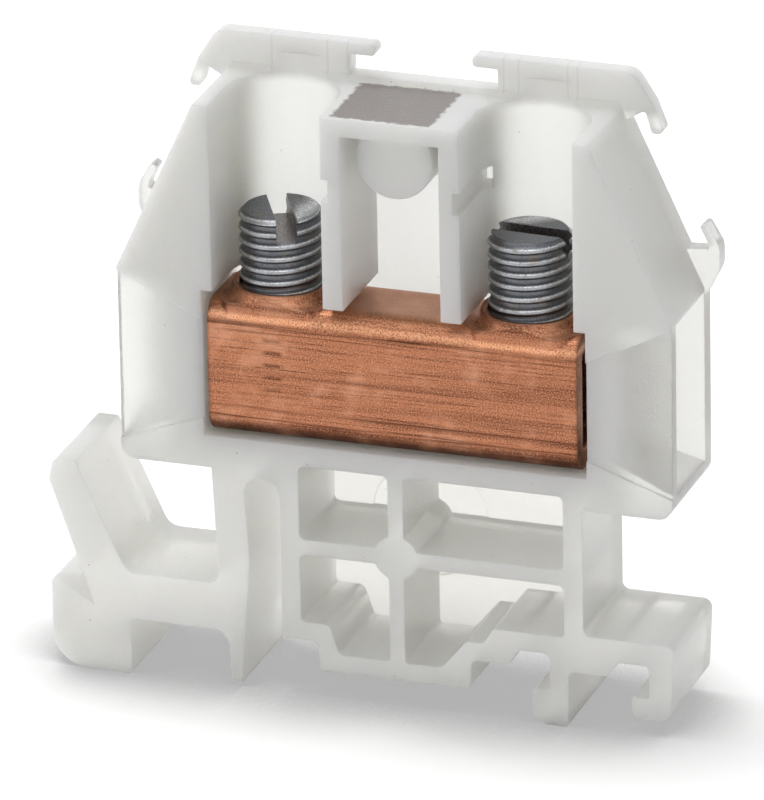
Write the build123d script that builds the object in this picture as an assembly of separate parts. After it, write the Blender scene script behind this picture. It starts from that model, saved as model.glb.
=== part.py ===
"""Feed-through terminal block for a 35 mm top-hat rail, open on its front side.

A one-piece moulded housing carries a copper clamp tube with two slotted set screws.
The part is drawn with its open side towards -Y, its back plate towards +Y and +Z up.
Heights are measured from the surface that the feet stand on, widths from the middle
plane of the terminal body. The finished pieces are moved so that the origin is in the
middle of the footprint.
"""
from math import radians, tan
import os

from build123d import *

# Housing depth, from the open front to the outside of the back plate
module_depth = 8.2
plate_thickness = 1.3
hook_thickness = 1.15

# Terminal body, the upper part with the wire mouths
body_half_width = 18.6
body_top_half_width = 13.2
body_underside = 15.15
body_shoulder = 28.35
body_top = 40.0
body_corner_round = 1.0
plate_rise = 0.4
panel_recess = 0.2
panel_thickness = 0.75
pocket_floor_wall = 2.2
mouth_floor_wall = 1.4
mouth_roof_drop = 0.2
throat_length = 0.7

# Clamp tube
tube_length = 24.8
tube_depth = 6.6
tube_height = 9.15
tube_wall = 1.2
tube_bend = 1.5
tube_inner_bend = 0.5
tube_shift = -0.22
tube_end_gap = 0.5
collar_height = 0.75
collar_wall = 0.4
collar_flare = 1.0
collar_gap = 0.1

# Set screws, without their fine thread
screw_from_tube_end = 4.02
screw_diameter = 5.5
thread_clearance = 0.05
screw_top_chamfer = 0.35
screw_tip_chamfer = 0.7
slot_width = 1.3
slot_depth = 1.5
left_screw_raised = 4.95
right_screw_raised = 5.25
left_slot_angle = 117.0
right_slot_angle = -3.0

# Screwdriver channels and the bridge between them
channel_radius = 3.75
leg_thickness = 1.35
leg_gap = 0.5
bridge_thickness = 1.15
notch_height = 1.5
notch_depth = 0.45
notch_drop = 4.15
pin_boss_radius = 2.55
pin_boss_drop = 2.8
pin_boss_recess = 1.0

# Marker hooks on the back plate
marker_hook_inner = 4.95
marker_hook_outer = 13.3
marker_hook_rise = 2.5
marker_nib_length = 1.7
marker_nib_thickness = 0.75
marker_finger_reach = 16.0
marker_finger_drop = 1.5
edge_hook_reach = 19.6
edge_hook_top = 32.8

# Lower frame between the feet, with its four cells
frame_left = -7.85
frame_right = 12.57
frame_wall = 1.3
stem_width = 1.03
rib_height = 9.8
rib_thickness = 1.05
cell_top_wall = 1.4
cell_floor_wall = 1.25
cell_corner_round = 0.4
left_floor_step = -4.3
left_floor_run = 0.7
right_floor_step = 3.8
right_floor_run = 1.7
relief_floor_step = 6.15
relief_floor_run = 0.7
centre_foot_left = -5.4
centre_foot_right = 5.0
centre_foot_drop = 2.05
centre_boss_radius = 1.5
round_mark_radius = 3.95
round_mark_depth = 0.15

# Rail foot
rail_width = 35.0
rail_play = 0.2
rail_thickness = 1.0
rail_gap = 0.2
rail_middle = -0.66
rail_seat = 3.85
hook_reach = 1.15
hook_height = 1.45
flange_relief_width = 2.0
flange_relief_slope = 0.85
flange_relief_rise = 1.05
foot_top = 6.45
foot_wall = 1.7
foot_draft = 0.25
tooth_left = 10.28
tooth_width = 1.3
tooth_barb = 1.15
tooth_barb_height = 2.43
tooth_relief_width = 2.05
tooth_relief_slope = 0.7
tooth_relief_rise = 1.1
wall_draft = 0.1

# Spring arm, release lever and left foot
arm_left = -12.5
arm_lean = 0.4
arm_slot_left = -10.32
arm_slot_top = 14.73
arm_slot_round = 1.2
arm_slot_waist = 9.0
arm_slot_lean = 0.36
arm_tooth_left = -11.55
arm_tooth_width = 0.8
arm_tooth_lift = 0.33
arm_tooth_lean = 0.2
link_top = 7.08
link_length = 5.95
lever_top = 14.45
lever_foot_width = 2.9
lever_tip_width = 1.55
lever_tip_drop = 1.4
lever_tip_bulge = 0.3
lever_lean = 3.35
left_foot_length = 5.4
left_foot_top = 6.4
left_foot_round = 2.4
foot_relief_depth = 0.6
foot_relief_drop = 2.0

# Values that follow from the sizes above
plate_front = module_depth - plate_thickness
hook_front = module_depth - hook_thickness
plate_top = body_top + plate_rise
pocket_floor = body_underside + pocket_floor_wall
tube_top = pocket_floor + tube_height
tube_middle = plate_front - tube_depth / 2
bore_floor = pocket_floor + tube_wall
bore_roof = tube_top - tube_wall
bore_front = plate_front - tube_depth + tube_wall
bore_back = plate_front - tube_wall
collar_top = tube_top + collar_height
pocket_roof = collar_top + collar_gap
pocket_half = tube_length / 2 + tube_end_gap
screw_length = collar_top - bore_floor
screw_offset = tube_length / 2 - screw_from_tube_end
panel_back = panel_recess + panel_thickness
leg_outer = screw_offset - channel_radius
leg_inner = leg_outer - leg_thickness
rail_left = rail_middle - (rail_width + rail_play) / 2
rail_right = rail_middle + (rail_width + rail_play) / 2
barb_top = rail_seat - rail_thickness - rail_gap
left_foot_end = rail_left - left_foot_length
lever_right = arm_left - link_length
cut_margin = 1.0


def outline(*corners):
    """A closed face from (across, up, radius) corners, each rounded by an arc of its radius."""
    count = len(corners)
    ends = []
    for i in range(count):
        x, z, radius = corners[i]
        before = Vector(*corners[i - 1][:2]) - Vector(x, z)
        after = Vector(*corners[(i + 1) % count][:2]) - Vector(x, z)
        half_turn = (180 - before.get_angle(after)) / 2
        room = 0.49 * min(before.length, after.length)
        setback = min(radius * tan(radians(half_turn)), room)
        here = Vector(x, z)
        start = here + before.normalized() * setback
        stop = here + after.normalized() * setback
        ends.append((start, here, stop, setback, half_turn))
    edges = []
    for i in range(count):
        start, here, stop, setback, half_turn = ends[i]
        if setback > 1e-4:
            middle = arc_middle(start, here, stop, half_turn)
            edges.append(ThreePointArc(start, middle, stop))
        following = ends[(i + 1) % count][0]
        if (following - stop).length > 1e-4:
            edges.append(Line(stop, following))
    return make_face(edges)


def arc_middle(start, corner, stop, half_turn):
    """The middle point of the arc that touches both sides of a corner."""
    chord_middle = (start + stop) * 0.5
    rise = (corner - chord_middle).length
    sagitta = (stop - start).length / 2 * tan(radians(half_turn / 2))
    return chord_middle + (corner - chord_middle) * (sagitta / rise)


def prism(face, front, back):
    """A face drawn in width and height, made solid from one depth to another."""
    block = extrude(face, amount=back - front, dir=(0, 0, 1))
    return Pos(0, back, 0) * (Rot(90, 0, 0) * block)


def rectangle_between(left, right, bottom, top, radius=0.0):
    """A rectangle between two widths and two heights, with rounded corners."""
    return outline(
        (left, bottom, radius), (right, bottom, radius), (right, top, radius), (left, top, radius)
    )


def both_sides(shape):
    """A shape with its mirror image on the other side of the body's middle plane."""
    return shape + mirror(shape, about=Plane.YZ)


def body_outline(top):
    """The terminal body: upright sides, sloping shoulders and a flat top at the given height."""
    lean = (body_half_width - body_top_half_width) / (body_top - body_shoulder)
    top_half = body_half_width - lean * (top - body_shoulder)
    return outline(
        (-body_half_width, body_underside, body_corner_round),
        (body_half_width, body_underside, body_corner_round),
        (body_half_width, body_shoulder, 0.0),
        (top_half, top, 0.0),
        (-top_half, top, 0.0),
        (-body_half_width, body_shoulder, 0.0),
    )


def frame_outline():
    """The lower frame with the rail seat, the right tooth and the right foot with its hook."""
    centre_bottom = rail_seat - centre_foot_drop
    tooth_relief_top = rail_seat + tooth_relief_rise
    flange_relief_top = rail_seat + flange_relief_rise
    tooth_right = tooth_left + tooth_width
    hook_nose = rail_right - hook_reach
    hook_bottom = barb_top - hook_height
    foot_right = rail_right + foot_wall
    return outline(
        (frame_left, body_underside + cut_margin, 0.0),
        (frame_left, rail_seat, 0.2),
        (centre_foot_left, rail_seat, 0.5),
        (centre_foot_left + wall_draft, centre_bottom, 0.45),
        (centre_foot_right - wall_draft, centre_bottom, 0.3),
        (centre_foot_right, rail_seat, 0.4),
        (tooth_left - tooth_relief_width - tooth_relief_slope, rail_seat, 0.3),
        (tooth_left - tooth_relief_width, tooth_relief_top, 0.35),
        (tooth_left, tooth_relief_top, 0.55),
        (tooth_left, tooth_barb_height, 0.1),
        (tooth_left - tooth_barb, tooth_barb_height, 0.2),
        (tooth_left - tooth_barb - wall_draft, 0.0, 1.1),
        (tooth_right - wall_draft, 0.0, 0.2),
        (tooth_right, rail_seat, 0.4),
        (rail_right - flange_relief_width - flange_relief_slope, rail_seat, 0.2),
        (rail_right - flange_relief_width, flange_relief_top, 0.2),
        (rail_right, flange_relief_top, 0.35),
        (rail_right, barb_top, 0.1),
        (hook_nose, barb_top, 0.2),
        (hook_nose - wall_draft, hook_bottom, 0.95),
        (foot_right - foot_draft, hook_bottom, 0.9),
        (foot_right, foot_top, 0.6),
        (frame_right, foot_top, 0.5),
        (frame_right, body_underside + cut_margin, 0.0),
    )


def lever_edge(height):
    """Where the lever's outer edge lies across the width, at a height."""
    top_edge = lever_right - lever_lean - lever_tip_width - lever_tip_bulge
    lean = (lever_right - lever_foot_width - top_edge) / (lever_top - lever_tip_drop - left_foot_top)
    return lever_right - lever_foot_width + lean * (left_foot_top - height)


def spring_outline():
    """The spring arm with its tooth, the link, the release lever and the left foot."""
    tip_right = lever_right - lever_lean
    tip_left = tip_right - lever_tip_width
    return outline(
        (arm_left, body_underside + cut_margin, 0.0),
        (arm_left + arm_lean, link_top, 0.75),
        (lever_right, link_top, 1.1),
        (tip_right, lever_top, 0.2),
        (tip_left, lever_top, 0.4),
        (tip_left - lever_tip_bulge, lever_top - lever_tip_drop, 0.5),
        (lever_edge(left_foot_top), left_foot_top, 0.3),
        (left_foot_end, left_foot_top, 0.7),
        (left_foot_end, 0.0, left_foot_round),
        (rail_left, 0.0, 0.15),
        (rail_left, rail_seat, 0.3),
        (arm_tooth_left, rail_seat, 1.15),
        (arm_tooth_left + arm_tooth_lean, arm_tooth_lift, 0.2),
        (frame_left, arm_tooth_lift, 0.0),
        (frame_left, body_underside + cut_margin, 0.0),
    )


def foot_relief():
    """The shallow slanting relief on the left foot's front, along the root of the lever."""
    low = left_foot_top - foot_relief_drop
    corner = (left_foot_end, 0, left_foot_top)
    root = (lever_edge(left_foot_top), 0, left_foot_top)
    tip = (lever_edge(low), 0, low)
    deep = Vertex(lever_edge(left_foot_top), foot_relief_depth, left_foot_top + wall_draft)
    face = make_face(Polyline(corner, root, tip, close=True))
    return loft([face, deep])


def spring_slot_outline():
    """The open slot between the spring arm and the frame, with its domed end."""
    tooth_right = arm_tooth_left + arm_tooth_width
    return outline(
        (arm_slot_left, arm_slot_top, arm_slot_round),
        (frame_left, arm_slot_top, arm_slot_round),
        (frame_left, -cut_margin, 0.0),
        (tooth_right, -cut_margin, 0.0),
        (arm_slot_left + arm_slot_lean, arm_slot_waist, 1.5),
    )


def cell_outlines():
    """The four cells of the lower frame, around the stem and the rib."""
    left = frame_left + frame_wall
    right = frame_right - frame_wall
    stem = stem_width / 2
    roof = pocket_floor - cell_top_wall
    upper_floor = rib_height + rib_thickness
    centre_floor = rail_seat - centre_foot_drop + cell_floor_wall
    seat_floor = rail_seat + cell_floor_wall
    relief_floor = rail_seat + tooth_relief_rise + cell_floor_wall
    corner = cell_corner_round
    upper_left = rectangle_between(left, -stem, upper_floor, roof, corner)
    upper_right = rectangle_between(stem, right, upper_floor, roof, corner)
    lower_left = outline(
        (left, rib_height, corner),
        (left, seat_floor, 0.3),
        (left_floor_step - left_floor_run / 2, seat_floor, 0.5),
        (left_floor_step + left_floor_run / 2, centre_floor, 0.4),
        (-stem, centre_floor, 0.3),
        (-stem, rib_height, corner),
    )
    lower_right = outline(
        (stem, rib_height, corner),
        (stem, centre_floor, 0.3),
        (right_floor_step - right_floor_run / 2, centre_floor, 0.6),
        (right_floor_step + right_floor_run / 2, seat_floor, 0.3),
        (relief_floor_step - relief_floor_run / 2, seat_floor, 0.3),
        (relief_floor_step + relief_floor_run / 2, relief_floor, 0.3),
        (right, relief_floor, 0.3),
        (right, rib_height, corner),
    )
    return upper_left + upper_right + lower_left + lower_right


def lower_cells():
    """The hollows of the lower frame, with the shallow round mark on the plate behind them."""
    faces = cell_outlines()
    middle = rib_height + rib_thickness / 2
    hollows = prism(faces, -cut_margin, plate_front)
    mark = prism(Pos(0, middle) * Circle(round_mark_radius), 0, plate_front + round_mark_depth)
    cells = prism(faces, 0, module_depth)
    boss = prism(Pos(0, middle) * Circle(centre_boss_radius), -2 * cut_margin, module_depth)
    return hollows + (mark & cells) - boss


def marker_hook_outline():
    """One marker hook: an arm along the top with a nib inwards and a finger drooping outwards."""
    top = plate_top + marker_hook_rise - plate_rise
    nib_under = top - marker_nib_thickness
    shoulder = body_top_half_width + 0.25
    finger_tip = body_top - marker_finger_drop
    return outline(
        (marker_hook_inner, plate_top - plate_rise, 0.0),
        (marker_hook_inner, nib_under, 0.15),
        (marker_hook_inner - marker_nib_length, nib_under, 0.3),
        (marker_hook_inner - marker_nib_length, top, 0.3),
        (marker_hook_outer + 0.65, top, 1.1),
        (marker_finger_reach - 0.75, body_top + 0.5, 0.5),
        (marker_finger_reach, finger_tip, 0.35),
        (marker_finger_reach - 0.85, finger_tip, 0.3),
        (marker_finger_reach - 1.25, body_top, 0.2),
        (shoulder, body_top - 0.75, 0.2),
        (shoulder - 1.5, body_top - 0.75, 0.0),
    )


def edge_hook_outline():
    """One small curved finger on a shoulder edge of the back plate."""
    root_top = edge_hook_top - 2.0
    root_bottom = body_shoulder - 0.4
    inner = edge_hook_reach - 0.67
    return outline(
        (body_half_width - 1.6, root_top + 0.1, 0.0),
        (inner, root_top + 0.25, 0.25),
        (inner - 0.05, edge_hook_top - 1.4, 0.8),
        (edge_hook_reach - 1.3, edge_hook_top - 0.25, 0.1),
        (edge_hook_reach - 0.9, edge_hook_top, 0.25),
        (edge_hook_reach, edge_hook_top - 1.5, 1.4),
        (edge_hook_reach, edge_hook_top - 3.0, 1.4),
        (body_half_width + 0.1, root_bottom, 0.4),
        (body_half_width - 0.6, root_bottom, 0.0),
    )


def plate_additions():
    """What the back plate has beyond the body: its raised top edge and its marker hooks."""
    raised = prism(body_outline(plate_top), plate_front, module_depth)
    hooks = prism(marker_hook_outline(), hook_front, module_depth)
    fingers = prism(edge_hook_outline(), hook_front, module_depth)
    return raised + both_sides(hooks + fingers)


def tube_pocket():
    """The hollow that takes the clamp tube, with its end gaps and the room over the collars."""
    space = rectangle_between(-pocket_half, pocket_half, pocket_floor, pocket_roof)
    return prism(space, -cut_margin, plate_front)


def wire_mouths():
    """The tapering wire entries in both ends of the body, from the mouths to the tube's bore."""
    throat_start = pocket_half + throat_length
    throat = yz_rectangle(throat_start, bore_front, bore_back, bore_floor, bore_roof)
    floor = body_underside + mouth_floor_wall
    roof = body_shoulder - mouth_roof_drop
    mouth = yz_rectangle(body_half_width, panel_back, plate_front, floor, roof)
    taper = loft([throat, mouth])
    passage = extrude(throat, amount=-throat_length - cut_margin)
    opening = extrude(mouth, amount=cut_margin)
    return both_sides(taper + passage + opening)


def panel_recesses():
    """The thin panels in front of the wire entries, set back a little from the front."""
    floor = body_underside + mouth_floor_wall
    roof = body_shoulder - mouth_roof_drop
    outer = body_half_width + cut_margin
    panel = outline(
        (pocket_half, bore_floor, 0.0),
        (body_half_width, floor, 0.0),
        (outer, floor, 0.0),
        (outer, roof, 0.0),
        (body_half_width, roof, 0.0),
        (pocket_half, bore_roof, 0.0),
    )
    return both_sides(prism(panel, -cut_margin, panel_recess))


def yz_rectangle(across, front, back, bottom, top):
    """A rectangle that stands across the width, between two depths and two heights."""
    middle = Pos(across, (front + back) / 2, (bottom + top) / 2)
    return middle * (Plane.YZ * Rectangle(back - front, top - bottom))


def screwdriver_channels():
    """The half-round channels above the screws, open to the front and to the top."""
    height = plate_top + cut_margin - pocket_roof
    bottom = pocket_roof - 0.01
    round_part = Pos(screw_offset, tube_middle, bottom + height / 2) * Cylinder(channel_radius, height)
    flat_part = Pos(screw_offset, (tube_middle - cut_margin) / 2, bottom + height / 2) * Box(
        2 * channel_radius, tube_middle + cut_margin, height
    )
    return both_sides(round_part + flat_part)


def centre_window():
    """The opening between the legs, under the bridge and in front of the plate."""
    space = rectangle_between(-leg_inner, leg_inner, pocket_floor, body_top - bridge_thickness, 0.0)
    return prism(space, -cut_margin, plate_front)


def leg_tips():
    """The short ends of the two legs, which reach down between the collars."""
    tip = rectangle_between(leg_inner, leg_outer, tube_top + leg_gap, pocket_roof + 0.2, 0.0)
    return both_sides(prism(tip, 0, plate_front))


def leg_notches():
    """The shallow notches across the outer faces of the legs."""
    top = body_top - notch_drop
    notch = rectangle_between(leg_outer - notch_depth, leg_outer + notch_depth, top - notch_height, top)
    return both_sides(prism(notch, -cut_margin, plate_front))


def pin_boss():
    """The round boss under the bridge, on the back plate."""
    return prism(Pos(0, body_top - pin_boss_drop) * Circle(pin_boss_radius), pin_boss_recess, plate_front)


def make_housing():
    """The housing, one moulding: body, back plate, frame, feet, spring arm and lever."""
    profile = body_outline(body_top) + frame_outline() + spring_outline() - spring_slot_outline()
    solid = prism(profile, 0, module_depth) + plate_additions()
    solid -= screwdriver_channels()
    solid -= tube_pocket()
    solid -= centre_window()
    solid -= leg_notches()
    solid -= wire_mouths()
    solid -= panel_recesses()
    solid -= foot_relief()
    solid -= lower_cells()
    solid += leg_tips()
    solid += pin_boss()
    return solid


def collar():
    """One drawn collar round a screw hole, flared where it leaves the top of the tube."""
    radius = screw_diameter / 2 + thread_clearance + collar_wall
    base = radius + collar_flare
    edges = [
        Line((0, -tube_wall), (base, -tube_wall)),
        Line((base, -tube_wall), (base, 0)),
        ThreePointArc(
            (base, 0),
            (radius + 0.3 * collar_flare, 0.3 * collar_height),
            (radius, collar_height),
        ),
        Line((radius, collar_height), (0, collar_height)),
        Line((0, collar_height), (0, -tube_wall)),
    ]
    return revolve(Plane.XZ * make_face(edges), axis=Axis.Z)


def make_clamp_tube():
    """The copper clamp tube with its bent long edges and its two threaded collars."""
    outer = extrude(Plane.YZ * RectangleRounded(tube_depth, tube_height, tube_bend), tube_length / 2, both=True)
    bore = extrude(
        Plane.YZ * RectangleRounded(tube_depth - 2 * tube_wall, tube_height - 2 * tube_wall, tube_inner_bend),
        tube_length / 2 + cut_margin,
        both=True,
    )
    level = pocket_floor + tube_height / 2
    inside = Box(tube_length, tube_depth, tube_height + 2 * collar_height)
    collars = [Pos(side * screw_offset, 0, tube_height / 2) * collar() for side in (-1, 1)]
    tube = outer + (collars[0] & inside) + (collars[1] & inside) - bore
    hole_radius = screw_diameter / 2 + thread_clearance
    hole_height = collar_top - bore_floor + cut_margin
    hole_middle = bore_floor - level + hole_height / 2
    for side in (-1, 1):
        tube -= Pos(side * screw_offset, 0, hole_middle) * Cylinder(hole_radius, hole_height)
    return Pos(tube_shift, tube_middle, level) * tube


def make_screw(side, raised, slot_angle):
    """A headless set screw with a chamfered end and a slot, raised above its driven place."""
    radius = screw_diameter / 2
    blank = Cylinder(radius, screw_length, align=(Align.CENTER, Align.CENTER, Align.MIN))
    blank = chamfer(blank.edges().group_by(Axis.Z)[-1], screw_top_chamfer)
    blank = chamfer(blank.edges().group_by(Axis.Z)[0], screw_tip_chamfer)
    slot = Box(4 * radius, slot_width, 2 * slot_depth)
    blank -= Pos(0, 0, screw_length) * Rot(0, 0, slot_angle) * slot
    return Pos(tube_shift + side * screw_offset, tube_middle, bore_floor + raised) * blank


def main():
    """Builds every piece, moves the origin under the middle of the block and writes the files."""
    pieces = {
        "housing": make_housing(),
        "clamp_tube": make_clamp_tube(),
        "screw_left": make_screw(-1, left_screw_raised, left_slot_angle),
        "screw_right": make_screw(1, right_screw_raised, right_slot_angle),
    }
    size = pieces["housing"].bounding_box()
    shift = Pos(-(size.min.X + size.max.X) / 2, -module_depth / 2, -size.min.Z)
    os.makedirs("parts", exist_ok=True)
    for name, piece in pieces.items():
        export_step(shift * piece, os.path.join("parts", name + ".step"))


main()
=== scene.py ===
"""Looks for a feed-through terminal block: natural polyamide, drawn copper and threaded steel.

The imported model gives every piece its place. The housing and the clamp tube keep their own
shapes and get their finishes here, and the two plain screws are replaced by threaded ones.
All lengths in the classes are in millimetres unless a name ends in _m.
"""
from __future__ import annotations

import logging
import math
from dataclasses import dataclass
from enum import Enum

import bpy
from mathutils import Matrix, Vector

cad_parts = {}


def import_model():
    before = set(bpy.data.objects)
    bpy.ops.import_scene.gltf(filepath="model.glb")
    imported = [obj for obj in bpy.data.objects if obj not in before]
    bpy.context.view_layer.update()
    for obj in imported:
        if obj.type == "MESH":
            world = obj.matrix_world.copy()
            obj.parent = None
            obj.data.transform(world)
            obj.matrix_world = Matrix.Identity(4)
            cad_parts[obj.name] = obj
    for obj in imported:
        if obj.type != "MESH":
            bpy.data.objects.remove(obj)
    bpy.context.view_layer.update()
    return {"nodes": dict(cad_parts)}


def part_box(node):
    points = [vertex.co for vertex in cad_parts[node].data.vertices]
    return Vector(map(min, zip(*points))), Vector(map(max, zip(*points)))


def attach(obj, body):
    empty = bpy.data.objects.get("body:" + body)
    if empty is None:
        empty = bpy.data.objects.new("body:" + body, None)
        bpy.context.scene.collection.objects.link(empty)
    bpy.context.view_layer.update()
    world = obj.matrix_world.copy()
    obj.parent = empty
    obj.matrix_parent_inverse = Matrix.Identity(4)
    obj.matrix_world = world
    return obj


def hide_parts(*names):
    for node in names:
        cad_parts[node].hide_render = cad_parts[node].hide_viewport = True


LOG = logging.getLogger("terminal_block")
MM = 0.001
FULL_TURN = 2.0 * math.pi
Tree = bpy.types.NodeTree
Socket = bpy.types.NodeSocket
Outputs = bpy.types.bpy_prop_collection


def linear(hex_colour: str) -> tuple[float, float, float, float]:
    """Turns an sRGB hex colour into linear values for a socket.

    Args:
        hex_colour: Six hex digits after a hash sign.

    Returns:
        Red, green, blue and alpha in linear light.
    """
    channels = [int(hex_colour[i:i + 2], 16) / 255.0 for i in (1, 3, 5)]
    lit = [c / 12.92 if c <= 0.04045 else ((c + 0.055) / 1.055) ** 2.4 for c in channels]
    return (lit[0], lit[1], lit[2], 1.0)


def add_node(
    tree: Tree, kind: str, inputs: dict[str | int, object] | None = None, **settings: object
) -> bpy.types.Node:
    """Adds one node with its settings, values and links.

    Args:
        tree: The shader or geometry tree that takes the node.
        kind: The node's type name.
        inputs: For each input socket, a value or the output socket that feeds it.
        settings: The node's own properties.

    Returns:
        The new node.
    """
    node = tree.nodes.new(kind)
    for name, value in settings.items():
        setattr(node, name, value)
    for key, value in (inputs or {}).items():
        if isinstance(value, Socket):
            tree.links.new(value, node.inputs[key])
        else:
            node.inputs[key].default_value = value
    return node


def maths(tree: Tree, operation: str, *values: object) -> Socket:
    """Adds one maths node.

    Args:
        tree: The tree that takes it.
        operation: What it works out.
        values: Its numbers or the sockets that feed it, in order.

    Returns:
        The result.
    """
    return add_node(tree, "ShaderNodeMath", dict(enumerate(values)), operation=operation).outputs[0]


def ramp(
    tree: Tree, value: Socket, start: float, end: float, low: object = 0.0, high: object = 1.0,
    smooth: bool = False,
) -> Socket:
    """Turns a value into another, which is low at start and high at end and stays between them.

    Args:
        tree: The tree that takes the node.
        value: The value to read.
        start: The value that gives low.
        end: The value that gives high.
        low: The result at start, as a number or a socket.
        high: The result at end.
        smooth: Whether the ramp eases in and out.

    Returns:
        The result.
    """
    return add_node(
        tree, "ShaderNodeMapRange",
        {"Value": value, "From Min": start, "From Max": end, "To Min": low, "To Max": high},
        interpolation_type="SMOOTHSTEP" if smooth else "LINEAR",
    ).outputs["Result"]


def blend(tree: Tree, share: Socket, under: Socket | str, over: str) -> Socket:
    """Lays one colour over another.

    Args:
        tree: The material's node tree.
        share: How much of the upper colour shows.
        under: The lower colour, as a socket or a hex colour.
        over: The upper colour.

    Returns:
        The mixed colour.
    """
    base = linear(under) if isinstance(under, str) else under
    return add_node(
        tree, "ShaderNodeMix", {0: share, 6: base, 7: linear(over)}, data_type="RGBA"
    ).outputs[2]


def noise(tree: Tree, place: Socket, size_mm: float, detail: float, roughness: float = 0.5) -> Socket:
    """Adds a noise of a given size.

    Args:
        tree: The material's node tree.
        place: The coordinates that it reads.
        size_mm: The size of its largest spots.
        detail: How many finer layers it has.
        roughness: How strong the finer layers are.

    Returns:
        The noise, about 0.5 on average.
    """
    return add_node(
        tree, "ShaderNodeTexNoise",
        {"Vector": place, "Scale": 1.0 / (size_mm * MM), "Detail": detail, "Roughness": roughness},
    ).outputs["Fac"]


def axes(tree: Tree, vector: Socket) -> Outputs:
    """Splits a vector into its X, Y and Z."""
    return add_node(tree, "ShaderNodeSeparateXYZ", {0: vector}).outputs


def apart(tree: Tree, value: Socket, middle: float) -> Socket:
    """Tells how far a value lies from a middle."""
    return maths(tree, "ABSOLUTE", maths(tree, "SUBTRACT", value, middle))


def object_place(tree: Tree) -> Socket:
    """Gives the place on the piece, in its own coordinates."""
    return add_node(tree, "ShaderNodeTexCoord").outputs["Object"]


def facing(tree: Tree) -> Outputs:
    """Tells which way the surface faces: Z is 1 on the top, 0 on the sides and -1 below."""
    return axes(tree, add_node(tree, "ShaderNodeTexCoord").outputs["Normal"])


def new_material(name: str) -> tuple[bpy.types.Material, Tree]:
    """Makes an empty node material.

    Args:
        name: The material's name.

    Returns:
        The material and its node tree.
    """
    material = bpy.data.materials.new(name)
    material.use_nodes = True
    material.node_tree.nodes.clear()
    return material, material.node_tree


def soft_edges(tree: Tree, radius_mm: float) -> Socket:
    """Rounds the look of sharp edges, as no moulded or drawn edge is a true corner.

    Args:
        tree: The material's node tree.
        radius_mm: The edge radius.

    Returns:
        The rounded normal.
    """
    return add_node(tree, "ShaderNodeBevel", {"Radius": radius_mm * MM}, samples=4).outputs["Normal"]


def bumped(tree: Tree, height: Socket, strength: float, depth_mm: float, edge_mm: float = 0.0) -> Socket:
    """Gives the surface a fine relief.

    Args:
        tree: The material's node tree.
        height: The relief, from 0 to 1.
        strength: How much of it shows.
        depth_mm: How deep it is.
        edge_mm: The radius of the softened edges, or 0 for sharp ones.

    Returns:
        The normal of the relief.
    """
    inputs = {"Height": height, "Strength": strength, "Distance": depth_mm * MM}
    if edge_mm:
        inputs["Normal"] = soft_edges(tree, edge_mm)
    return add_node(tree, "ShaderNodeBump", inputs).outputs["Normal"]


def finish_surface(tree: Tree, inputs: dict[str, object], **settings: object) -> None:
    """Ends a material with its surface shader.

    Args:
        tree: The material's node tree.
        inputs: The shader's values and links.
        settings: The shader's own properties.
    """
    shader = add_node(tree, "ShaderNodeBsdfPrincipled", inputs, **settings)
    add_node(tree, "ShaderNodeOutputMaterial", {"Surface": shader.outputs["BSDF"]})


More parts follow.
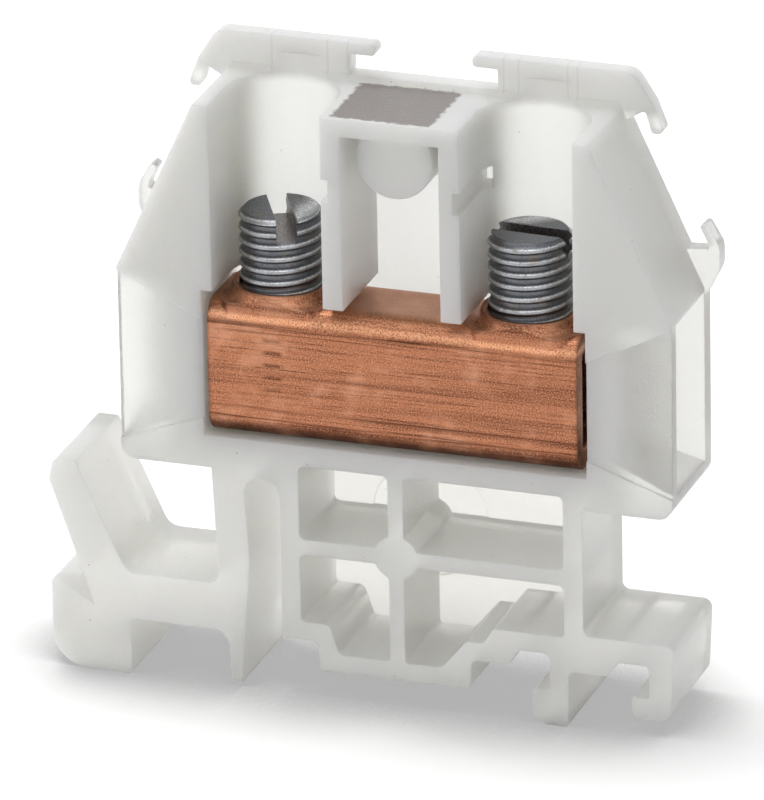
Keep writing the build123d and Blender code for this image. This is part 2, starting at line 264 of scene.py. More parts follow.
@dataclass(frozen=True)
class NaturalPolyamide:
    """Uncoloured polyamide 6.6, injection moulded: milky, a little see-through, satin."""

    body_colour: str = "#FAFAF5"
    cloud_colour: str = "#F5F3EE"
    upper_shade_colour: str = "#EEEEEB"
    gate_colour: str = "#98918F"
    speck_colour: str = "#4A463F"
    seam_colour: str = "#E6E5E1"
    ior: float = 1.53
    roughness: float = 0.32
    scatter_mm: float = 3.0
    scatter_tint: tuple[float, float, float] = (1.0, 0.95, 0.85)
    clearness: float = 0.04
    frame_clearness: float = 0.3
    frame_heights: tuple[float, float] = (13.5, 17.5)
    plate_clearness: float = 0.7
    plate_front: float = 2.8
    plate_blend: float = 1.9
    plate_top: float = 39.4
    plate_fade: float = 0.6
    end_clearness: float = 0.74
    end_middle: float = 2.03
    end_reach: tuple[float, float] = (14.0, 17.4)
    end_heights: tuple[float, float] = (15.4, 27.2)
    end_fade: float = 1.2
    cloud_mm: float = 5.0
    grain_mm: float = 0.14
    grain_depth_mm: float = 0.045
    grain_strength: float = 0.8
    edge_mm: float = 0.16
    speck_mm: float = 0.95
    speck_strength: float = 0.45
    speck_radii: tuple[float, float] = (0.075, 0.04)
    speck_rise: tuple[float, float] = (0.5, 0.95)
    speck_least: tuple[float, float] = (0.86, 0.45)
    seam_places: tuple[float, ...] = (-8.21, -4.44, -3.09, 7.37, 8.37, 11.63, 12.3)
    seam_mm: float = 0.04
    seam_floor: float = 40.2
    gate_low: tuple[float, float, float] = (-2.05, -3.65, 39.9)
    gate_high: tuple[float, float, float] = (4.65, 2.6, 40.2)
    gate_wobble_mm: float = 0.5
    gate_ragged_mm: float = 0.7
    gate_soft_mm: float = 0.12
    gate_skin_mm: float = 0.02
    gate_roughening: float = 3.0

    def material(self) -> bpy.types.Material:
        """Builds the plastic with its clouds, grain, specks, seams and the rough gate mark."""
        material, tree = new_material("natural_polyamide")
        place = object_place(tree)
        low, high = self.frame_heights
        tone = blend(tree, noise(tree, place, self.cloud_mm, 3.0), self.body_colour, self.cloud_colour)
        # Painted shade: above the rail foot the body is painted a darker tone, as its thick walls pass less
        # light than the ribs of the foot.
        above = ramp(tree, axes(tree, place)["Z"], low * MM, high * MM, smooth=True)
        tone = blend(tree, above, tone, self.upper_shade_colour)
        gate = self.gate_mask(tree, place)
        tone = blend(tree, gate, tone, self.gate_colour)
        tone = blend(tree, self.seam_mask(tree, place), tone, self.seam_colour)
        tone = blend(tree, self.speck_mask(tree, place), tone, self.speck_colour)
        # The cavity was spark-eroded, so the skin has an even fine grain that breaks up highlights.
        grain = noise(tree, place, self.grain_mm, 2.0)
        relief = maths(
            tree, "MULTIPLY", grain, maths(tree, "MULTIPLY_ADD", gate, self.gate_roughening, 1.0)
        )
        # The resin scatters light within a few millimetres, so a thin plate looks clearer than a rib.
        finish_surface(
            tree,
            {
                "Base Color": tone,
                "Roughness": self.roughness,
                "IOR": self.ior,
                "Subsurface Weight": 1.0,
                "Subsurface Radius": self.scatter_tint,
                "Subsurface Scale": self.scatter_mm * MM,
                "Transmission Weight": self.clear_share(tree, place),
                "Normal": bumped(tree, relief, self.grain_strength, self.grain_depth_mm, self.edge_mm),
            },
            subsurface_method="RANDOM_WALK",
        )
        return material

    def gate_mask(self, tree: Tree, place: Socket) -> Socket:
        """Makes a mask of the torn gate mark on top of the bridge, with a ragged edge.

        Args:
            tree: The material's node tree.
            place: The object coordinates.

        Returns:
            A socket that is 1 on the mark and 0 elsewhere.
        """
        middle = [0.5 * (low + high) * MM for low, high in zip(self.gate_low, self.gate_high)]
        half = [0.5 * (high - low) * MM for low, high in zip(self.gate_low, self.gate_high)]
        part = axes(tree, place)
        sides = [apart(tree, part[axis], middle[axis]) for axis in range(3)]
        ragged = maths(
            tree, "MULTIPLY_ADD", noise(tree, place, self.gate_wobble_mm, 3.0),
            self.gate_ragged_mm * MM, -0.5 * self.gate_ragged_mm * MM,
        )
        soft = self.gate_soft_mm * MM
        mask = ramp(tree, sides[2], half[2] + self.gate_skin_mm * MM, half[2])
        for axis in (0, 1):
            shifted = maths(tree, "ADD", sides[axis], ragged)
            inside = ramp(tree, shifted, half[axis] + soft, half[axis] - soft)
            mask = maths(tree, "MULTIPLY", mask, inside)
        return mask

    def seam_mask(self, tree: Tree, place: Socket) -> Socket:
        """Makes a mask of the upright seams on the marker hooks, where the mould's cores met.

        Args:
            tree: The material's node tree.
            place: The object coordinates.

        Returns:
            A socket that is 1 on a seam and 0 elsewhere.
        """
        part = axes(tree, place)
        nearest = apart(tree, part["X"], self.seam_places[0] * MM)
        for middle in self.seam_places[1:]:
            nearest = maths(tree, "MINIMUM", nearest, apart(tree, part["X"], middle * MM))
        line = ramp(tree, nearest, 2.0 * self.seam_mm * MM, self.seam_mm * MM)
        on_hooks = maths(tree, "GREATER_THAN", part["Z"], self.seam_floor * MM)
        return maths(tree, "MULTIPLY", on_hooks, line)

    def clear_share(self, tree: Tree, place: Socket) -> Socket:
        """Lets more light straight through where the moulding is only a thin plate.

        Args:
            tree: The material's node tree.
            place: The object coordinates.

        Returns:
            A socket with the share of light that passes. It is 1 on the way out of the plastic.
        """
        part = axes(tree, place)
        front = self.plate_front
        thin = ramp(tree, part["Y"], (front - self.plate_blend) * MM, front * MM, smooth=True)
        below_hooks = ramp(tree, part["Z"], (self.plate_top + self.plate_fade) * MM, self.plate_top * MM)
        plate = maths(tree, "MULTIPLY", thin, below_hooks)
        # The ribs of the rail foot are thinner than the walls of the body.
        low, high = self.frame_heights
        ribs = ramp(
            tree, part["Z"], low * MM, high * MM, self.frame_clearness, self.clearness, smooth=True
        )
        share = ramp(tree, plate, 0.0, 1.0, ribs, self.plate_clearness)
        # The wire mouths have the thinnest walls of all, with a hollow behind them.
        near, far = self.end_reach
        mouth = ramp(
            tree, apart(tree, part["X"], self.end_middle * MM), near * MM, far * MM,
            0.0, self.end_clearness, smooth=True,
        )
        low, high = self.end_heights
        above_foot = maths(tree, "GREATER_THAN", part["Z"], low * MM)
        below_slope = ramp(tree, part["Z"], (high + self.end_fade) * MM, high * MM)
        ends = maths(tree, "MULTIPLY", mouth, maths(tree, "MULTIPLY", above_foot, below_slope))
        leaving = add_node(tree, "ShaderNodeNewGeometry").outputs["Backfacing"]
        return maths(tree, "MAXIMUM", maths(tree, "MAXIMUM", share, ends), leaving)

    def speck_mask(self, tree: Tree, place: Socket) -> Socket:
        """Makes a mask of the few dark specks in the plastic.

        Args:
            tree: The material's node tree.
            place: The object coordinates.

        Returns:
            A socket that is up to speck_strength on a speck and 0 elsewhere.
        """
        cells = add_node(
            tree, "ShaderNodeTexVoronoi",
            {"Vector": place, "Scale": 1.0 / (self.speck_mm * MM), "Randomness": 1.0},
        ).outputs
        near = ramp(tree, cells["Distance"], *self.speck_radii)
        pick = add_node(tree, "ShaderNodeSeparateColor", {0: cells["Color"]}).outputs[0]
        # Dust settles on the faces that look up, so more specks show there.
        least = ramp(tree, facing(tree)["Z"], *self.speck_rise, *self.speck_least)
        both = maths(tree, "MULTIPLY", near, maths(tree, "GREATER_THAN", pick, least))
        return maths(tree, "MULTIPLY", both, self.speck_strength)


@dataclass(frozen=True)
class DrawnCopper:
    """Bare copper tube, drawn through a die and tumbled: matt, with lines along its length."""

    body_colour: str = "#B67757"
    worn_colour: str = "#D09A7C"
    line_colour: str = "#6A3C2A"
    oxide_and_shade_colour: str = "#4A2A1D"
    painted_highlight_colour: str = "#F8B68C"
    roughness: float = 0.34
    oxide_roughness: float = 0.2
    noise_roughness: float = 0.6
    line_mm: float = 0.14
    line_stretch: float = 0.02
    band_mm: float = 0.9
    band_stretch: float = 0.03
    grain_mm: float = 0.1
    patch_mm: float = 2.6
    relief_mm: float = 0.02
    relief_strength: float = 0.5
    line_relief: float = 0.8
    edge_mm: float = 0.5
    bend_height: float = 25.66
    bend_widths: tuple[float, float] = (0.3, 0.08)
    bend_fronts: tuple[float, float] = (-1.6, -2.2)
    bend_haze: float = 0.3
    bend_polish: float = 0.1
    tap_middle: tuple[float, float] = (-6.2, 22.55)
    tap_half: tuple[float, float] = (0.85, 2.5)
    tap_pitch: float = 0.85
    tap_fronts: tuple[float, float] = (-2.0, -2.6)
    score_heights: tuple[float, ...] = (25.2, 24.75, 19.5, 18.75)
    score_widths: tuple[float, ...] = (0.1, 0.05, 0.07, 0.11)

    def material(self) -> bpy.types.Material:
        """Builds the copper with its die lines, fine grain, brown oxidised patches and painted shade on the
        lower bend.
        """
        material, tree = new_material("drawn_copper")
        place = object_place(tree)
        lines = self.drawn_noise(tree, place, self.line_mm, self.line_stretch, 4.0)
        bands = self.drawn_noise(tree, place, self.band_mm, self.band_stretch, 2.0)
        # Real grain is about 0.05 mm. It is drawn twice as coarse, as it has to show.
        grain = noise(tree, place, self.grain_mm, 3.0, self.noise_roughness)
        patches = noise(tree, place, self.patch_mm, 3.0, self.noise_roughness)
        tone: Socket | str = self.body_colour
        for share, colour in (
            (ramp(tree, lines, 0.5, 0.32, high=0.95), self.line_colour),
            (ramp(tree, patches, 0.5, 0.3, high=0.6), self.worn_colour),
            (ramp(tree, bands, 0.52, 0.34, high=0.75), self.line_colour),
            (ramp(tree, grain, 0.5, 0.72, high=0.9), self.worn_colour),
            # Painted light: faces that look up get the lighter worn colour.
            (ramp(tree, facing(tree)["Z"], 0.9, 0.99, high=0.85), self.worn_colour),
        ):
            tone = blend(tree, share, tone, colour)
        oxide_and_shade = maths(
            tree, "MULTIPLY", ramp(tree, grain, 0.54, 0.26, high=0.85), ramp(tree, patches, 0.3, 0.62)
        )
        for mark in (
            self.tarnish_and_shade(tree, patches), self.tap_marks(tree, place, grain), self.scores(tree, place, lines)
        ):
            oxide_and_shade = maths(tree, "MAXIMUM", oxide_and_shade, mark)
        tone = blend(tree, oxide_and_shade, tone, self.oxide_and_shade_colour)
        # Painted highlight: a bright line along the upper front bend, where the metal is also a little
        # smoother.
        bend_highlight = self.painted_bend_highlight(tree, place, grain)
        dull = ramp(tree, oxide_and_shade, 0.0, 1.0, self.roughness, self.roughness + self.oxide_roughness)
        relief = maths(tree, "MULTIPLY_ADD", lines, self.line_relief, grain)
        finish_surface(
            tree,
            {
                "Base Color": blend(tree, bend_highlight, tone, self.painted_highlight_colour),
                "Metallic": 1.0,
                "Roughness": maths(tree, "MULTIPLY_ADD", bend_highlight, -self.bend_polish, dull),
                "Normal": bumped(tree, relief, self.relief_strength, self.relief_mm, self.edge_mm),
            },
        )
        return material

    def drawn_noise(
        self, tree: Tree, place: Socket, size_mm: float, stretch: float, detail: float
    ) -> Socket:
        """Draws the lines and bands that the die leaves along the tube.

        Args:
            tree: The material's node tree.
            place: The object coordinates.
            size_mm: How wide the lines are.
            stretch: Their width as a share of their length.
            detail: How many finer lines lie in them.

        Returns:
            The noise, about 0.5 on average.
        """
        along = add_node(tree, "ShaderNodeMapping", {"Vector": place, "Scale": (stretch, 1.0, 1.0)})
        return noise(tree, along.outputs[0], size_mm, detail, self.noise_roughness)

    def painted_bend_highlight(self, tree: Tree, place: Socket, grain: Socket) -> Socket:
        """Paints a highlight along the upper front bend: a bright line at a set height and a weaker band
        where the bend faces up.

        Args:
            tree: The material's node tree.
            place: The object coordinates.
            grain: The fine noise that breaks it up.

        Returns:
            A mask of the painted highlight.
        """
        rise = facing(tree)["Z"]
        part = axes(tree, place)
        near, far = self.bend_fronts
        wide, narrow = self.bend_widths
        band = maths(tree, "MULTIPLY", ramp(tree, rise, 0.2, 0.6), ramp(tree, rise, 0.97, 0.85))
        line = maths(
            tree, "MULTIPLY",
            ramp(tree, apart(tree, part["Z"], self.bend_height * MM), wide * MM, narrow * MM),
            ramp(tree, part["Y"], near * MM, far * MM),
        )
        both = maths(tree, "MAXIMUM", maths(tree, "MULTIPLY", band, self.bend_haze), line)
        return maths(tree, "MULTIPLY", both, ramp(tree, grain, 0.3, 0.6, high=0.85))

    def tarnish_and_shade(self, tree: Tree, patches: Socket) -> Socket:
        """Browns the top and the sawn ends, which the tumbling left dull, and paints shade on the lower
        bend.

        Args:
            tree: The material's node tree.
            patches: The large noise that breaks it up.

        Returns:
            A mask of the dull brown faces and the painted shade.
        """
        way = facing(tree)
        top = ramp(tree, way["Z"], 0.8, 0.99, high=0.1)
        # Painted shade: faces that look down are browned.
        shaded_bottom = ramp(tree, way["Z"], -0.1, -0.5, high=0.8)
        ends = ramp(tree, maths(tree, "ABSOLUTE", way["X"]), 0.6, 0.9, high=0.25)
        dull = maths(tree, "MAXIMUM", ends, maths(tree, "MAXIMUM", top, shaded_bottom))
        return maths(tree, "MULTIPLY", dull, ramp(tree, patches, 0.2, 0.6))

    def scores(self, tree: Tree, place: Socket, lines: Socket) -> Socket:
        """Scores a few long dark lines where the die was worn.

        Args:
            tree: The material's node tree.
            place: The object coordinates.
            lines: The die-line noise that breaks them up.

        Returns:
            A mask of the lines.
        """
        height = axes(tree, place)["Z"]
        mask = None
        for middle, width in zip(self.score_heights, self.score_widths):
            gap = apart(tree, height, middle * MM)
            line = ramp(tree, gap, 2.0 * width * MM, 0.4 * width * MM, high=0.8)
            mask = line if mask is None else maths(tree, "MAXIMUM", mask, line)
        return maths(tree, "MULTIPLY", mask, ramp(tree, lines, 0.62, 0.4))

    def tap_marks(self, tree: Tree, place: Socket, grain: Socket) -> Socket:
        """Marks the short rungs that the thread tap pushed out in the wall, one for each turn.

        Args:
            tree: The material's node tree.
            place: The object coordinates.
            grain: The fine noise that breaks them up.

        Returns:
            A mask of the rungs.
        """
        part = axes(tree, place)
        turns = FULL_TURN / (self.tap_pitch * MM)
        wave = maths(
            tree, "COSINE",
            maths(tree, "MULTIPLY_ADD", part["Z"], turns, -turns * self.tap_middle[1] * MM),
        )
        mask = maths(
            tree, "MULTIPLY", ramp(tree, wave, 0.1, 0.9, high=0.75), ramp(tree, grain, 0.7, 0.5)
        )
        near, far = self.tap_fronts
        mask = maths(tree, "MULTIPLY", mask, ramp(tree, part["Y"], near * MM, far * MM))
        for axis, middle, half in zip("XZ", self.tap_middle, self.tap_half):
            gap = apart(tree, part[axis], middle * MM)
            mask = maths(tree, "MULTIPLY", mask, ramp(tree, gap, half * MM, 0.5 * half * MM))
        return mask


@dataclass(frozen=True)
class RolledSteel:
    """Zinc-plated steel set screw with a rolled thread: grey lands, painted highlights on the crest edges,
    painted shade in the roots.
    """

    land_colour: str = "#989BA0"
    edge_highlight_colour: str = "#D6D8DB"
    root_shade_colour: str = "#6D7075"
    pit_colour: str = "#4C4E53"
    stain_colour: str = "#7A6A5A"
    slot_colour: str = "#B4ABA7"
    roughness: float = 0.34
    mottle_mm: float = 0.13
    mottle_share: float = 0.24
    stain_mm: float = 1.1
    relief_mm: float = 0.02
    relief_strength: float = 0.6
    roughness_spread: tuple[float, float] = (0.12, -0.06)

    def material(self) -> bpy.types.Material:
        """Builds the steel, whose tone follows the height of the thread, with painted shade in the roots and
        painted highlights on the crest edges.
        """
        material, tree = new_material("rolled_steel")
        place = object_place(tree)
        height = add_node(tree, "ShaderNodeAttribute", attribute_name=SetScrew.HEIGHT_NAME)
        milled = add_node(tree, "ShaderNodeAttribute", attribute_name=SetScrew.MILLED_NAME)
        mottle = noise(tree, place, self.mottle_mm, 4.0, 0.6)
        ragged = maths(tree, "MULTIPLY_ADD", mottle, self.mottle_share, height.outputs["Fac"])
        level = maths(tree, "SUBTRACT", ragged, 0.5 * self.mottle_share)
        stains = noise(tree, place, self.stain_mm, 4.0, 0.7)
        torn = ramp(tree, mottle, 0.35, 0.6, 0.05, 0.7)
        dull, bright = (self.roughness + change for change in self.roughness_spread)
        # Painted shade: the thread roots are dark. Painted highlight: the edges below the lands are bright.
        tone: Socket | str = self.root_shade_colour
        for share, colour in (
            (ramp(tree, level, 0.55, 0.86), self.edge_highlight_colour),
            (ramp(tree, level, 0.93, 1.0, high=0.8), self.land_colour),
            (ramp(tree, mottle, 0.54, 0.36, high=0.55), self.pit_colour),
            (maths(tree, "MULTIPLY", milled.outputs["Fac"], torn), self.slot_colour),
            (ramp(tree, stains, 0.5, 0.72, high=0.55), self.stain_colour),
        ):
            tone = blend(tree, share, tone, colour)
        finish_surface(
            tree,
            {
                "Base Color": tone,
                "Metallic": 1.0,
                "Roughness": ramp(tree, mottle, 0.3, 0.7, dull, bright),
                "Normal": bumped(tree, mottle, self.relief_strength, self.relief_mm),
            },
        )
        return material


class Side(Enum):
    """The two ends of the terminal, as seen from its open side."""

    LEFT = "screw_left"
    RIGHT = "screw_right"


@dataclass
class Housing:
    """The one-piece moulding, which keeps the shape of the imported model."""

    finish: NaturalPolyamide
    node: str = "housing"

    def dress(self, nodes: dict[str, bpy.types.Object]) -> None:
        """Gives the moulding its plastic.

        Args:
            nodes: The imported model's objects by node name.
        """
        put_material(nodes[self.node], self.finish.material())
        LOG.info("%s dressed in natural polyamide", self.node)


@dataclass
class ClampTube:
    """The copper tube that clamps both conductors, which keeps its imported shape."""

    finish: DrawnCopper
    node: str = "clamp_tube"

    def dress(self, nodes: dict[str, bpy.types.Object]) -> None:
        """Gives the tube its copper.

        Args:
            nodes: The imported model's objects by node name.
        """
        put_material(nodes[self.node], self.finish.material())
        LOG.info("%s dressed in drawn copper", self.node)


@dataclass
class SetScrew:
    """One headless set screw with a rolled thread, a slot and chamfered ends."""

    side: Side
    slot_angle: float
    start_angle: float = 0.0
    pitch: float = 0.83
    thread_depth: float = 0.3
    slot_width: float = 1.3
    slot_depth: float = 1.5
    top_chamfer: float = 0.35
    tip_chamfer: float = 0.7
    segments: int = 96
    rings_per_pitch: int = 18
    seed: int = 3

    HEIGHT_NAME = "thread_height"
    MILLED_NAME = "milled_face"
    CREST_SHARE = 0.1
    ROOT_SHARE = 0.82
    SHARP_ANGLE = 38.0

    def build(self, steel: bpy.types.Material) -> bpy.types.Object:
        """Builds the threaded screw in the place of the plain one.

        Args:
            steel: The screw's material.

        Returns:
            The finished piece, riding on the screw's body.
        """
        low, high = (Vector(corner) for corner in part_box(self.side.value))
        length = high.z - low.z
        radius = 0.5 * (high.x - low.x)
        tree = self.thread_tree(steel)
        holder = bpy.data.objects.new(f"{self.side.value}_maker", bpy.data.meshes.new("maker"))
        bpy.context.scene.collection.objects.link(holder)
        modifier = holder.modifiers.new("thread", "NODES")
        modifier.node_group = tree
        values = {
            "Radius": radius,
            "Length": length,
            "Pitch": self.pitch * MM,
            "Thread Depth": self.thread_depth * MM,
            "Slot Width": self.slot_width * MM,
            "Slot Depth": self.slot_depth * MM,
            "Slot Angle": math.radians(self.slot_angle),
            "Start Turn": self.start_angle / 360.0,
            "Top Chamfer": self.top_chamfer * MM,
            "Tip Chamfer": self.tip_chamfer * MM,
            "Segments": self.segments,
            "Rings": round(self.rings_per_pitch * length / (self.pitch * MM)),
            "Seed": self.seed,
            "Foot": Vector((0.5 * (low.x + high.x), 0.5 * (low.y + high.y), low.z)),
        }
        for item in tree.interface.items_tree:
            if item.name in values:
                modifier[item.identifier] = values[item.name]
        graph = bpy.context.evaluated_depsgraph_get()
        mesh = bpy.data.meshes.new_from_object(holder.evaluated_get(graph))
        bpy.data.objects.remove(holder)
        piece = bpy.data.objects.new(f"{self.side.value}_threaded", mesh)
        bpy.context.scene.collection.objects.link(piece)
        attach(piece, self.side.value)
        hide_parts(self.side.value)
        LOG.info("%s built with %d faces", piece.name, len(mesh.polygons))
        return piece

    def thread_tree(self, steel: bpy.types.Material) -> Tree:
        """Makes the geometry tree of a threaded, slotted screw.

        Args:
            steel: The material that the tree sets.

        Returns:
            The tree, with its sizes as named inputs.
        """
        tree = bpy.data.node_groups.new("set_screw", "GeometryNodeTree")
        floats = (
            "Radius", "Length", "Pitch", "Thread Depth", "Slot Width", "Slot Depth", "Slot Angle",
            "Start Turn", "Top Chamfer", "Tip Chamfer",
        )
        sockets = {name: "NodeSocketFloat" for name in floats}
        sockets |= {name: "NodeSocketInt" for name in ("Segments", "Rings", "Seed")}
        sockets["Foot"] = "NodeSocketVector"
        for name, kind in sockets.items():
            tree.interface.new_socket(name, in_out="INPUT", socket_type=kind)
        tree.interface.new_socket("Geometry", in_out="OUTPUT", socket_type="NodeSocketGeometry")
        size = add_node(tree, "NodeGroupInput").outputs
        blank = add_node(
            tree, "GeometryNodeMeshCylinder",
            {"Vertices": size["Segments"], "Side Segments": size["Rings"],
             "Radius": size["Radius"], "Depth": size["Length"]},
            fill_type="NGON",
        )
        depth_share, position = self.thread_shape(tree, size)
        shaped = add_node(
            tree, "GeometryNodeSetPosition", {"Geometry": blank.outputs["Mesh"], "Position": position}
        )
        marked = add_node(
            tree, "GeometryNodeStoreNamedAttribute",
            {"Geometry": shaped.outputs[0], "Name": self.HEIGHT_NAME,
             "Value": maths(tree, "SUBTRACT", 1.0, depth_share)},
            data_type="FLOAT", domain="POINT",
        )
        slotted = self.cut_slot(tree, size, marked.outputs[0])
        lift = add_node(tree, "ShaderNodeCombineXYZ", {"Z": maths(tree, "MULTIPLY", size["Length"], 0.5)})
        foot = add_node(tree, "ShaderNodeVectorMath", {0: size["Foot"], 1: lift.outputs[0]}, operation="ADD")
        placed = add_node(
            tree, "GeometryNodeTransform", {"Geometry": slotted, "Translation": foot.outputs[0]}
        )
        smooth = self.smooth_but_sharp(tree, placed.outputs[0])
        real = add_node(tree, "GeometryNodeRealizeInstances", {"Geometry": smooth})
        dressed = add_node(tree, "GeometryNodeSetMaterial", {"Geometry": real.outputs[0], "Material": steel})
        add_node(tree, "NodeGroupOutput", {"Geometry": dressed.outputs[0]})
        return tree

    def thread_shape(self, tree: Tree, size: Outputs) -> tuple[Socket, Socket]:
        """Works out where each point of the blank goes to form the thread.

        Args:
            tree: The geometry tree.
            size: The tree's named input sockets.

        Returns:
            How deep a point lies in the thread from 0 to 1, and its position.
        """

        def work(operation: str, *values: object) -> Socket:
            """Adds one maths node to this tree and returns its result."""
            return maths(tree, operation, *values)

        part = axes(tree, add_node(tree, "GeometryNodeInputPosition").outputs[0])
        turn = work("ARCTAN2", part["Y"], part["X"])
        climb = work("ADD", part["Z"], work("MULTIPLY", size["Length"], 0.5))
        wound = work("SUBTRACT", work("DIVIDE", climb, size["Pitch"]), work("DIVIDE", turn, FULL_TURN))
        phase = work("FRACT", work("ADD", wound, size["Start Turn"]))
        from_crest = work("MULTIPLY", work("ABSOLUTE", work("SUBTRACT", phase, 0.5)), 2.0)
        share = ramp(tree, from_crest, self.CREST_SHARE, self.ROOT_SHARE, smooth=True)
        threaded = work("SUBTRACT", size["Radius"], work("MULTIPLY", size["Thread Depth"], share))
        from_top = work("SUBTRACT", size["Length"], climb)
        near_top = work("MAXIMUM", work("SUBTRACT", size["Top Chamfer"], from_top), 0.0)
        near_tip = work("MAXIMUM", work("SUBTRACT", size["Tip Chamfer"], climb), 0.0)
        chamfered = work("SUBTRACT", size["Radius"], work("MAXIMUM", near_top, near_tip))
        radius = work("MINIMUM", threaded, chamfered)
        position = add_node(
            tree, "ShaderNodeCombineXYZ",
            {
                "X": work("MULTIPLY", radius, work("COSINE", turn)),
                "Y": work("MULTIPLY", radius, work("SINE", turn)),
                "Z": part["Z"],
            },
        )
        return share, position.outputs[0]

    def cut_slot(self, tree: Tree, size: Outputs, screw: Socket) -> Socket:
        """Cuts the driver slot across the top and marks its faces as milled.

        Args:
            tree: The geometry tree.
            size: The tree's named input sockets.
            screw: The threaded blank, centred on the origin.

        Returns:
            The slotted screw.
        """
        bulk = add_node(
            tree, "ShaderNodeCombineXYZ",
            {
                "X": maths(tree, "MULTIPLY", size["Radius"], 4.0),
                "Y": size["Slot Width"],
                "Z": maths(tree, "MULTIPLY", size["Slot Depth"], 2.0),
            },
        )
        bar = add_node(tree, "GeometryNodeMeshCube", {"Size": bulk.outputs[0]})
        top = add_node(tree, "ShaderNodeCombineXYZ", {"Z": maths(tree, "MULTIPLY", size["Length"], 0.5)})
        heading = add_node(tree, "ShaderNodeCombineXYZ", {"Z": size["Slot Angle"]})
        milled = add_node(
            tree, "GeometryNodeStoreNamedAttribute",
            {"Geometry": bar.outputs["Mesh"], "Name": self.MILLED_NAME, "Value": 1.0},
            data_type="FLOAT", domain="FACE",
        )
        turned = add_node(
            tree, "GeometryNodeTransform",
            {"Geometry": milled.outputs[0], "Translation": top.outputs[0], "Rotation": heading.outputs[0]},
        )
        return add_node(
            tree, "GeometryNodeMeshBoolean", {0: screw, 1: turned.outputs[0]},
            operation="DIFFERENCE", solver="EXACT",
        ).outputs["Mesh"]

    def smooth_but_sharp(self, tree: Tree, screw: Socket) -> Socket:
        """Shades the thread smoothly and keeps the slot's edges sharp.

        Args:
            tree: The geometry tree.
            screw: The slotted screw.

        Returns:
            The shaded screw.
        """
        faces = add_node(
            tree, "GeometryNodeSetShadeSmooth", {"Geometry": screw, "Shade Smooth": True}, domain="FACE"
        )
        bend = add_node(tree, "GeometryNodeInputMeshEdgeAngle").outputs["Unsigned Angle"]
        sharp = maths(tree, "GREATER_THAN", bend, math.radians(self.SHARP_ANGLE))
        return add_node(
            tree, "GeometryNodeSetShadeSmooth",
            {"Geometry": faces.outputs[0], "Selection": sharp, "Shade Smooth": False},
            domain="EDGE",
        ).outputs[0]


def put_material(obj: bpy.types.Object, material: bpy.types.Material) -> None:
    """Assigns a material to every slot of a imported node.

    Args:
        obj: The node's object.
        material: Its new material.
    """
    for slot in obj.material_slots:
        slot.material = material
    if not obj.material_slots:
        obj.data.materials.append(material)


@dataclass(frozen=True)
class SoftBox:
    """One large soft white lamp, aimed at the middle of the block."""

    name: str
    azimuth: float
    elevation: float
    distance_m: float
    size_m: float
    power: float

    def place(self, target: Vector) -> None:
        """Adds the lamp to the scene.

        Args:
            target: The point that it faces, in metres.
        """
        lamp = bpy.data.lights.new(self.name, "AREA")
        lamp.shape = "SQUARE"
        lamp.size = self.size_m
        lamp.energy = self.power
        holder = bpy.data.objects.new(self.name, lamp)
        away = direction(self.azimuth, self.elevation)
        holder.location = target + away * self.distance_m
        holder.rotation_euler = away.to_track_quat("Z", "Y").to_euler()
        bpy.context.scene.collection.objects.link(holder)


def direction(azimuth: float, elevation: float) -> Vector:
    """Gives the direction from the block to a viewer or a lamp.

    Args:
        azimuth: Degrees round the block, 0 in front of the open side and 90 on the right.
        elevation: Degrees above the floor.

    Returns:
        A unit vector.
    """
    turn, rise = math.radians(azimuth), math.radians(elevation)
    return Vector((math.sin(turn) * math.cos(rise), -math.cos(turn) * math.cos(rise), math.sin(rise)))


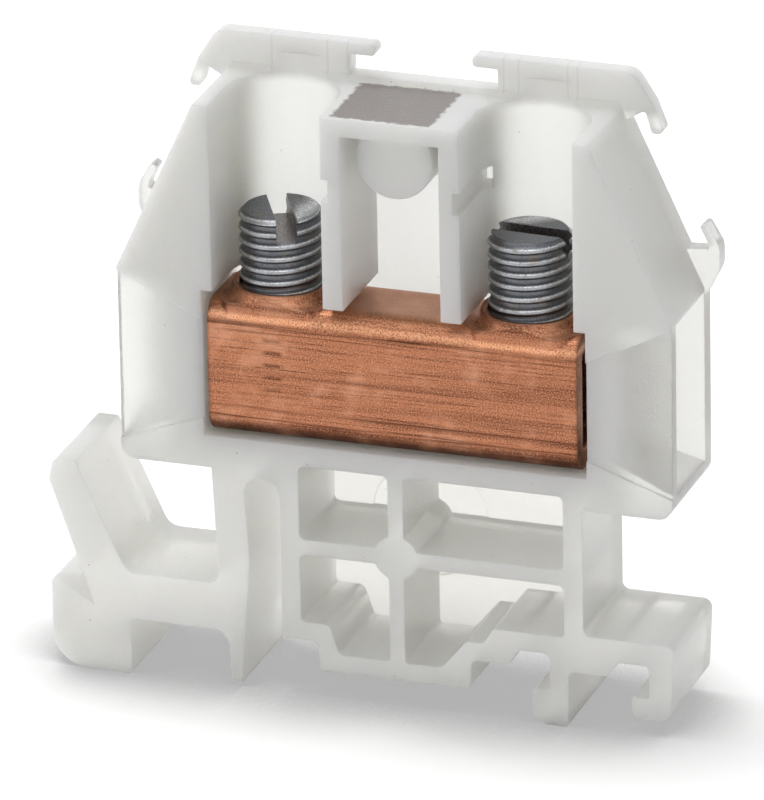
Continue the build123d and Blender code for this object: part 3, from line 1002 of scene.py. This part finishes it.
@dataclass
class Studio:
    """White floor, soft light and the camera at the photograph's angle."""

    azimuth: float = 19.386
    elevation: float = 22.377
    roll: float = -1.067
    distance: float = 730.36
    target: tuple[float, float, float] = (-0.132, -0.1, 19.461)
    focal_px: float = 11401.8
    picture_height_px: float = 800.0
    sensor_mm: float = 36.0
    clip_start_m: float = 0.01
    clip_end_m: float = 20.0
    white: str = "#FFFFFF"
    paper_colour: str = "#F6F6F6"
    contact_shadow_colour: str = "#3A3A3A"
    contact_mm: float = 12.0
    contact_range: tuple[float, float] = (0.5, 1.0)
    floor_glow: float = 0.43
    glow_change: float = 0.0
    floor_half_m: float = 2.0
    front_light: float = 0.11
    back_light: float = 1.0
    side_range: tuple[float, float] = (-0.8, 0.3)
    top_share: float = 0.55
    top_range: tuple[float, float] = (0.2, 0.9)
    bright_side: tuple[float, float, float] = (-0.78, 0.55, 0.3)
    boxes: tuple[SoftBox, ...] = (
        SoftBox("top_box", -120.0, 66.0, 0.6, 0.3, 1.3),
        SoftBox("high_box", 5.0, 66.0, 0.6, 0.1, 0.18),
    )

    def camera(self) -> None:
        """Adds the camera, with the lens worked out from the fitted focal length."""
        away = direction(self.azimuth, self.elevation)
        right = Vector((math.cos(math.radians(self.azimuth)), math.sin(math.radians(self.azimuth)), 0.0))
        up = away.cross(right)
        tilt = math.radians(self.roll)
        across = right * math.cos(tilt) + up * math.sin(tilt)
        above = up * math.cos(tilt) - right * math.sin(tilt)
        lens = bpy.data.cameras.new("camera")
        lens.sensor_fit = "AUTO"
        lens.sensor_width = self.sensor_mm
        lens.lens = self.focal_px * lens.sensor_width / self.picture_height_px
        lens.clip_start = self.clip_start_m
        lens.clip_end = self.clip_end_m
        holder = bpy.data.objects.new("camera", lens)
        turn = Matrix((across, above, away)).transposed()
        place = (Vector(self.target) + away * self.distance) * MM
        holder.matrix_world = Matrix.Translation(place) @ turn.to_4x4()
        bpy.context.scene.collection.objects.link(holder)
        bpy.context.scene.camera = holder

    def floor(self) -> None:
        """Adds the white floor, which keeps the block's soft shadow."""
        half = self.floor_half_m
        corners = [(-half, -half, 0.0), (half, -half, 0.0), (half, half, 0.0), (-half, half, 0.0)]
        mesh = bpy.data.meshes.new("floor")
        mesh.from_pydata(corners, [], [(0, 1, 2, 3)])
        floor = bpy.data.objects.new("floor", mesh)
        bpy.context.scene.collection.objects.link(floor)
        material, tree = new_material("floor_white")
        # Painted shadow: close to the feet, where little light reaches, ambient occlusion darkens the
        # floor's colour.
        open_sky = add_node(
            tree, "ShaderNodeAmbientOcclusion", {"Distance": self.contact_mm * MM}, samples=8
        ).outputs["AO"]
        contact = ramp(tree, open_sky, *self.contact_range)
        tone = blend(tree, contact, self.contact_shadow_colour, self.paper_colour)
        paper = add_node(tree, "ShaderNodeBsdfDiffuse", {"Color": tone})
        # The glow is even, but its strength stays linked: with a plain number there, the whole
        # block renders about one step of 255 brighter.
        strength = maths(tree, "MULTIPLY_ADD", contact, self.glow_change, self.floor_glow)
        glow = add_node(
            tree, "ShaderNodeEmission", {"Color": linear(self.white), "Strength": strength}
        )
        both = add_node(tree, "ShaderNodeAddShader", {0: paper.outputs[0], 1: glow.outputs[0]})
        plain = add_node(tree, "ShaderNodeBsdfDiffuse", {"Color": linear(self.paper_colour)})
        seen = add_node(
            tree, "ShaderNodeMixShader", {0: self.looking(tree), 1: plain.outputs[0], 2: both.outputs[0]}
        )
        add_node(tree, "ShaderNodeOutputMaterial", {"Surface": seen.outputs[0]})
        floor.data.materials.append(material)

    def world(self) -> None:
        """Adds the even light all round, which looks white to the camera and in reflections."""
        world = bpy.data.worlds.new("studio_world")
        world.use_nodes = True
        tree = world.node_tree
        tree.nodes.clear()
        way = add_node(tree, "ShaderNodeTexCoord").outputs["Generated"]
        toward = add_node(
            tree, "ShaderNodeVectorMath", {0: way, 1: self.bright_side}, operation="DOT_PRODUCT"
        ).outputs["Value"]
        level = ramp(tree, toward, *self.side_range, self.front_light, self.back_light, smooth=True)
        shade = ramp(tree, axes(tree, way)["Z"], *self.top_range, 1.0, self.top_share, smooth=True)
        dim = add_node(
            tree, "ShaderNodeBackground",
            {"Color": linear(self.white), "Strength": maths(tree, "MULTIPLY", level, shade)},
        )
        white = add_node(tree, "ShaderNodeBackground", {"Color": linear(self.white), "Strength": 1.0})
        mixed = add_node(
            tree, "ShaderNodeMixShader", {0: self.looking(tree), 1: dim.outputs[0], 2: white.outputs[0]}
        )
        add_node(tree, "ShaderNodeOutputWorld", {"Surface": mixed.outputs[0]})
        bpy.context.scene.world = world

    def looking(self, tree: Tree) -> Socket:
        """Tells the rays that show the studio from the rays that only light the block.

        Args:
            tree: The floor's or the world's node tree.

        Returns:
            A socket that is 1 for what the camera, a reflection or a clear wall shows.
        """
        path = add_node(tree, "ShaderNodeLightPath").outputs
        mirrored = maths(tree, "MAXIMUM", path["Is Camera Ray"], path["Is Glossy Ray"])
        return maths(tree, "MAXIMUM", mirrored, path["Is Transmission Ray"])

    def lamps(self) -> None:
        """Adds the soft boxes: one overhead and one high in front, which draws the tube's top bend."""
        for box in self.boxes:
            box.place(Vector(self.target) * MM)

    def build(self) -> None:
        """Sets up the whole studio."""
        self.camera()
        self.floor()
        self.world()
        self.lamps()
        bpy.context.scene.view_settings.view_transform = "Standard"
        LOG.info("studio set up")


def main() -> None:
    """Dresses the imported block, replaces its screws and sets up the studio."""
    logging.basicConfig(level=logging.INFO, format="%(name)s: %(message)s")
    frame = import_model()
    nodes = frame["nodes"]
    Housing(NaturalPolyamide()).dress(nodes)
    ClampTube(DrawnCopper()).dress(nodes)
    steel = RolledSteel().material()
    SetScrew(Side.LEFT, slot_angle=117.0).build(steel)
    SetScrew(Side.RIGHT, slot_angle=-3.0, start_angle=140.0).build(steel)
    Studio().build()


if __name__ == "__main__":
    main()
